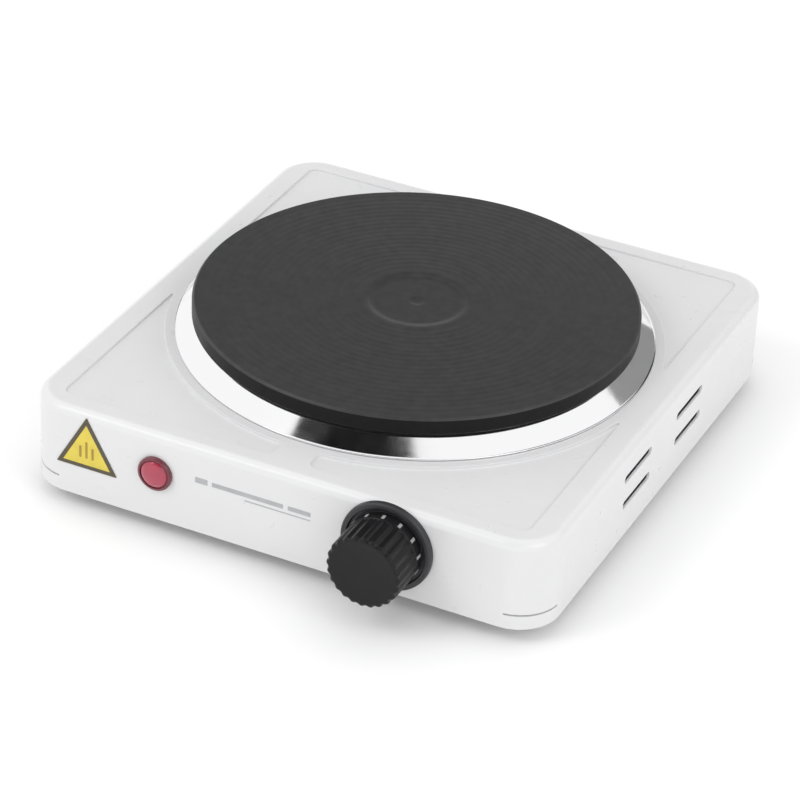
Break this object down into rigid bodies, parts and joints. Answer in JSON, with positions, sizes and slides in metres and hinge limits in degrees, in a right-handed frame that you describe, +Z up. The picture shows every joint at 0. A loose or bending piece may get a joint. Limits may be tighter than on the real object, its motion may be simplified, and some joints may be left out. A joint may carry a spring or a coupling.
{
  "type": "hot plate burner",
  "caption": "Free-standing electric hot plate: flat white steel housing, round cast iron cooking plate in a chrome ring, front dial and pilot lamp, on rubber feet.",
  "frame": {"origin": "centre of the footprint box, the knob and the cord gland included, on the worktop that the feet stand on", "axes": "+Z up, +X to the right seen from the front, -Y towards the user (the dial's side)"},
  "size_m": [0.228, 0.2638, 0.0617],
  "materials": {
    "white_enamel": "satin",
    "cast_iron": "matte black coating",
    "chrome": "polished",
    "steel": "zinc plated",
    "aluminium": "bright sheet",
    "black_plastic": "satin",
    "red_lens": "translucent",
    "white_plastic": "satin",
    "rubber": "matte",
    "ceramic": "unglazed",
    "cement": "matte",
    "brass": "plain",
    "yellow_film": "printed film",
    "brown_sleeve": "silicone",
    "blue_sleeve": "silicone",
    "green_sleeve": "silicone"
  },
  "bodies": {
    "housing": {"housing_shell": "white_enamel", "base_plate": "white_enamel", "hotplate_casting": "cast_iron", "trim_ring": "chrome", "heating_coil": "steel", "plate_cover": "steel", "centre_stud": "steel", "support_bridge": "steel", "stud_washer": "steel", "stud_nut": "steel", "thermostat_frame": "steel", "thermostat_screw_left": "steel", "thermostat_screw_right": "steel", "bimetal_blade": "steel", "lamp_clip": "steel", "corner_bracket_front_left": "steel", "corner_bracket_front_right": "steel", "corner_bracket_rear_left": "steel", "corner_bracket_rear_right": "steel", "foot_screw_front_left": "steel", "foot_screw_front_right": "steel", "foot_screw_rear_left": "steel", "foot_screw_rear_right": "steel", "heat_shield": "aluminium", "thermal_fuse": "aluminium", "dial_bezel": "black_plastic", "cord_gland": "black_plastic", "gland_nut": "black_plastic", "lamp_lens": "red_lens", "lamp_body": "white_plastic", "mains_terminal_block": "white_plastic", "foot_front_left": "rubber", "foot_front_right": "rubber", "foot_rear_left": "rubber", "foot_rear_right": "rubber", "plate_terminal_block": "ceramic", "contact_stack": "ceramic", "coil_insulation": "cement", "plate_terminal_pin_1": "brass", "plate_terminal_pin_2": "brass", "thermostat_bushing": "brass", "stack_rivet": "brass", "fixed_contact_leaf": "brass", "mains_screw_1": "brass", "mains_screw_2": "brass", "mains_screw_3": "brass", "earth_screw": "brass", "triangle_sticker": "yellow_film", "lead_live_in": "brown_sleeve", "lead_live_out": "brown_sleeve", "lead_fuse": "brown_sleeve", "lead_lamp_live": "brown_sleeve", "lead_neutral": "blue_sleeve", "lead_lamp_neutral": "blue_sleeve", "lead_earth": "green_sleeve"},
    "dial": {"control_knob": "black_plastic", "control_shaft": "brass", "knob_spring": "steel"},
    "pin": {"push_pin": "ceramic"},
    "arm": {"contact_arm": "brass"}
  },
  "joints": [
    {"name": "dial_turn", "type": "hinge", "parent": "housing", "child": "dial", "pos_m": [0.0485, -0.10935, 0.029], "axis": [0, 1, 0], "range_deg": [0, 270]},
    {"name": "pin_slide", "type": "slide", "parent": "housing", "child": "pin", "axis": [0, 1, 0], "range_m": [0, 0.00095]},
    {"name": "arm_flex", "type": "hinge", "parent": "housing", "child": "arm", "pos_m": [0.0625, -0.09385, 0.029], "axis": [0, 0, -1], "range_deg": [0, 4]}
  ],
  "couplings": [
    {"joint": "pin_slide", "follows": "dial_turn", "m_per_rad": 0.00019},
    {"joint": "arm_flex", "follows": "dial_turn", "ratio": 0.0136}
  ]
}
